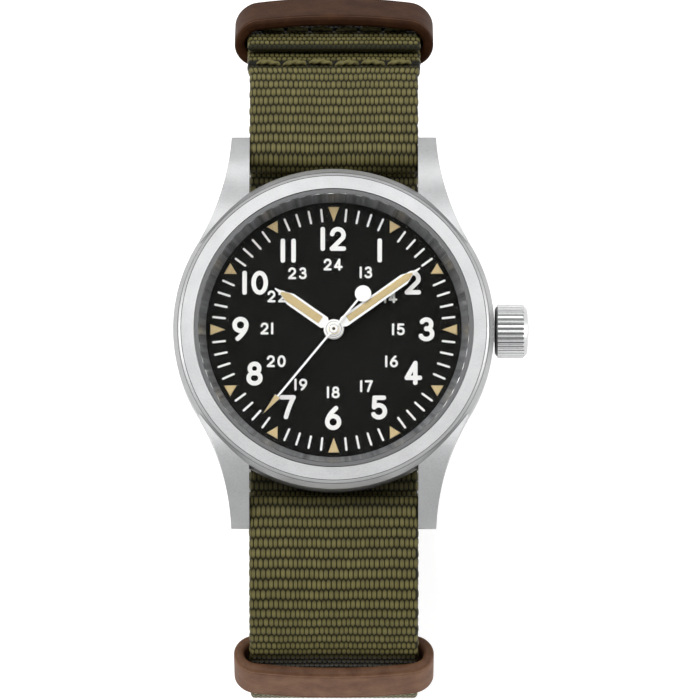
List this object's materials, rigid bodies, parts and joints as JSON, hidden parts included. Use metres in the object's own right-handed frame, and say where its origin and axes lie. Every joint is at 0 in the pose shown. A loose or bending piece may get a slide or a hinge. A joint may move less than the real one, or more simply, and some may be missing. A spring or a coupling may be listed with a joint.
{
  "type": "field watch",
  "caption": "Hand-wound field watch with a black numeral dial, steel case and crown, on a woven pass-through strap with leather keepers and a tongue buckle.",
  "frame": {"origin": "centre of the wrist opening, on the dial's axis", "axes": "+X to the crown (3 on the dial), +Y to 12 on the dial, +Z out of the dial"},
  "size_m": [0.0421, 0.083, 0.0577],
  "materials": {
    "case_steel": "satin",
    "crown_steel": "satin",
    "sapphire": "polished",
    "gasket": "matte",
    "flange": "satin",
    "ring": "satin",
    "dial_black": "matte",
    "hand_white": "satin",
    "nickel": "satin",
    "wheel_brass": "polished",
    "steel_part": "polished",
    "ruby": "polished",
    "blue_steel": "polished",
    "strap_fabric": "woven",
    "keeper_leather": "smooth",
    "buckle_steel": "satin"
  },
  "bodies": {
    "case": {"case_middle": "case_steel", "crystal": "sapphire", "crystal_gasket": "gasket", "inner_flange": "flange", "case_back": "case_steel", "case_back_gasket": "gasket", "movement_ring": "ring", "crown_tube": "steel_part", "dial": "dial_black", "mainplate": "nickel", "barrel_bridge": "nickel", "train_bridge": "nickel", "balance_cock": "nickel", "pallet_bridge": "nickel", "motion_bridge": "nickel", "shock_setting": "wheel_brass", "bridge_screws": "blue_steel", "jewels": "ruby", "click_spring": "steel_part", "spring_bar_tubes": "steel_part", "spring_bar_springs": "steel_part", "main_strap": "strap_fabric", "flap_strap": "strap_fabric", "keeper_lower": "keeper_leather", "keeper_fixed": "keeper_leather", "buckle_frame": "buckle_steel"},
    "seconds": {"fourth_wheel": "wheel_brass", "second_hand": "hand_white"},
    "third": {"third_wheel": "wheel_brass"},
    "centre": {"centre_wheel": "wheel_brass"},
    "barrel": {"barrel_drum": "wheel_brass", "barrel_cover": "wheel_brass", "mainspring": "steel_part"},
    "escape": {"escape_wheel": "steel_part"},
    "minutes": {"cannon_pinion": "wheel_brass", "minute_hand": "hand_white"},
    "minute_wheel": {"minute_wheel": "wheel_brass"},
    "hours": {"hour_wheel": "wheel_brass", "hour_hand": "hand_white"},
    "setting_wheel": {"setting_wheel": "steel_part"},
    "pallets": {"pallet_fork": "steel_part"},
    "balance": {"balance_wheel": "wheel_brass", "hairspring": "blue_steel"},
    "crown_seal": {"crown_gasket": "gasket"},
    "crown": {"crown": "crown_steel", "winding_stem": "steel_part"},
    "sliding_pinion": {"sliding_pinion": "steel_part"},
    "winding_pinion": {"winding_pinion": "steel_part"},
    "crown_wheel": {"crown_wheel": "steel_part"},
    "ratchet": {"ratchet_wheel": "steel_part", "barrel_arbor": "steel_part"},
    "setting_lever": {"setting_lever": "steel_part"},
    "yoke": {"yoke": "steel_part"},
    "click": {"click": "steel_part"},
    "tongue": {"buckle_tongue": "buckle_steel"},
    "keeper": {"keeper_upper": "keeper_leather"},
    "pin_top_crown_side": {"spring_bar_pin_top_crown_side": "steel_part"},
    "pin_top_left_side": {"spring_bar_pin_top_left_side": "steel_part"},
    "pin_bottom_crown_side": {"spring_bar_pin_bottom_crown_side": "steel_part"},
    "pin_bottom_left_side": {"spring_bar_pin_bottom_left_side": "steel_part"}
  },
  "joints": [
    {"name": "seconds_turn", "type": "hinge", "parent": "case", "child": "seconds", "pos_m": [0, 0, 0.03], "axis": [0, 0, 1], "continuous": true},
    {"name": "third_turn", "type": "hinge", "parent": "case", "child": "third", "pos_m": [-0.00536, 0.00065, 0.02712], "axis": [0, 0, 1], "continuous": true},
    {"name": "centre_turn", "type": "hinge", "parent": "case", "child": "centre", "pos_m": [-0.00221, 0.00503, 0.02732], "axis": [0, 0, 1], "continuous": true},
    {"name": "barrel_turn", "type": "hinge", "parent": "case", "child": "barrel", "pos_m": [0.00372, 0.00593, 0.02755], "axis": [0, 0, 1], "continuous": true, "deforming": ["mainspring"]},
    {"name": "escape_turn", "type": "hinge", "parent": "case", "child": "escape", "pos_m": [-0.0022, -0.00471, 0.0276], "axis": [0, 0, 1], "continuous": true},
    {"name": "minutes_turn", "type": "hinge", "parent": "case", "child": "minutes", "pos_m": [0, 0, 0.03], "axis": [0, 0, 1], "continuous": true},
    {"name": "minute_wheel_turn", "type": "hinge", "parent": "case", "child": "minute_wheel", "pos_m": [0.00278, 0.00112, 0.02908], "axis": [0, 0, 1], "continuous": true},
    {"name": "hours_turn", "type": "hinge", "parent": "case", "child": "hours", "pos_m": [0, 0, 0.03], "axis": [0, 0, 1], "continuous": true},
    {"name": "setting_wheel_turn", "type": "hinge", "parent": "case", "child": "setting_wheel", "pos_m": [0.00623, 0, 0.02908], "axis": [0, 0, 1], "continuous": true},
    {"name": "pallets_rock", "type": "hinge", "parent": "case", "child": "pallets", "pos_m": [0, -0.00573, 0.0276], "axis": [0, 0, 1], "range_deg": [-5, 5]},
    {"name": "balance_swing", "type": "hinge", "parent": "case", "child": "balance", "pos_m": [0.0034, -0.0073, 0.0271], "axis": [0, 0, 1], "range_deg": [-270, 270], "stiffness_Nm_per_rad": 0.00000007, "deforming": ["hairspring"]},
    {"name": "crown_pull", "type": "slide", "parent": "case", "child": "crown_seal", "axis": [1, 0, 0], "range_m": [0, 0.001]},
    {"name": "crown_turn", "type": "hinge", "parent": "crown_seal", "child": "crown", "pos_m": [0.019, 0, 0.028], "axis": [1, 0, 0], "continuous": true},
    {"name": "sliding_pinion_slide", "type": "slide", "parent": "crown", "child": "sliding_pinion", "axis": [1, 0, 0], "range_m": [-0.00205, 0]},
    {"name": "winding_pinion_turn", "type": "hinge", "parent": "case", "child": "winding_pinion", "pos_m": [0.0099, 0, 0.028], "axis": [1, 0, 0], "continuous": true},
    {"name": "crown_wheel_turn", "type": "hinge", "parent": "case", "child": "crown_wheel", "pos_m": [0.0078, 0, 0.0263], "axis": [0, 0, 1], "continuous": true},
    {"name": "ratchet_turn", "type": "hinge", "parent": "case", "child": "ratchet", "pos_m": [0.00372, 0.00593, 0.0263], "axis": [0, 0, 1], "continuous": true},
    {"name": "setting_lever_swing", "type": "hinge", "parent": "case", "child": "setting_lever", "pos_m": [0.0119, 0.0025, 0.02905], "axis": [0, 0, 1], "range_deg": [0, 23.08]},
    {"name": "yoke_swing", "type": "hinge", "parent": "case", "child": "yoke", "pos_m": [0.0093, -0.0032, 0.02905], "axis": [0, 0, 1], "range_deg": [0, 19.16]},
    {"name": "click_rock", "type": "hinge", "parent": "case", "child": "click", "pos_m": [0.01001, 0.00364, 0.0263], "axis": [0, 0, 1], "range_deg": [0, 6], "stiffness_Nm_per_rad": 0.00002, "springref_deg": -2.86, "deforming": ["click_spring"]},
    {"name": "pin_top_crown_side_push", "type": "slide", "parent": "case", "child": "pin_top_crown_side", "axis": [-1, 0, 0], "range_m": [0, 0.0009], "stiffness_N_per_m": 1500, "springref_m": -0.0006, "deforming": ["spring_bar_springs"]},
    {"name": "pin_top_left_side_push", "type": "slide", "parent": "case", "child": "pin_top_left_side", "axis": [1, 0, 0], "range_m": [0, 0.0009], "stiffness_N_per_m": 1500, "springref_m": -0.0006},
    {"name": "pin_bottom_crown_side_push", "type": "slide", "parent": "case", "child": "pin_bottom_crown_side", "axis": [-1, 0, 0], "range_m": [0, 0.0009], "stiffness_N_per_m": 1500, "springref_m": -0.0006},
    {"name": "pin_bottom_left_side_push", "type": "slide", "parent": "case", "child": "pin_bottom_left_side", "axis": [1, 0, 0], "range_m": [0, 0.0009], "stiffness_N_per_m": 1500, "springref_m": -0.0006},
    {"name": "tongue_lift", "type": "hinge", "parent": "case", "child": "tongue", "pos_m": [0, 0.005, -0.01955], "axis": [1, 0, 0], "range_deg": [0, 2]},
    {"name": "keeper_slide", "type": "slide", "parent": "case", "child": "keeper", "axis": [0, -0.4709, 0.8822], "range_m": [0, 0.002]}
  ],
  "couplings": [
    {"joint": "third_turn", "follows": "seconds_turn", "ratio": -0.13333},
    {"joint": "centre_turn", "follows": "seconds_turn", "ratio": 0.016667},
    {"joint": "barrel_turn", "follows": "seconds_turn", "ratio": -0.002381},
    {"joint": "escape_turn", "follows": "seconds_turn", "ratio": -12},
    {"joint": "minutes_turn", "follows": "seconds_turn", "ratio": 0.016667},
    {"joint": "minute_wheel_turn", "follows": "seconds_turn", "ratio": -0.0055556},
    {"joint": "hours_turn", "follows": "seconds_turn", "ratio": 0.0013889},
    {"joint": "setting_wheel_turn", "follows": "seconds_turn", "ratio": 0.0090909},
    {"joint": "winding_pinion_turn", "follows": "crown_turn", "ratio": 1},
    {"joint": "crown_wheel_turn", "follows": "crown_turn", "ratio": 0.58333},
    {"joint": "ratchet_turn", "follows": "crown_turn", "ratio": -0.29167},
    {"joint": "sliding_pinion_slide", "follows": "crown_pull", "ratio": -2.05},
    {"joint": "setting_lever_swing", "follows": "crown_pull", "rad_per_m": 402.72},
    {"joint": "yoke_swing", "follows": "crown_pull", "rad_per_m": 334.32}
  ]
}
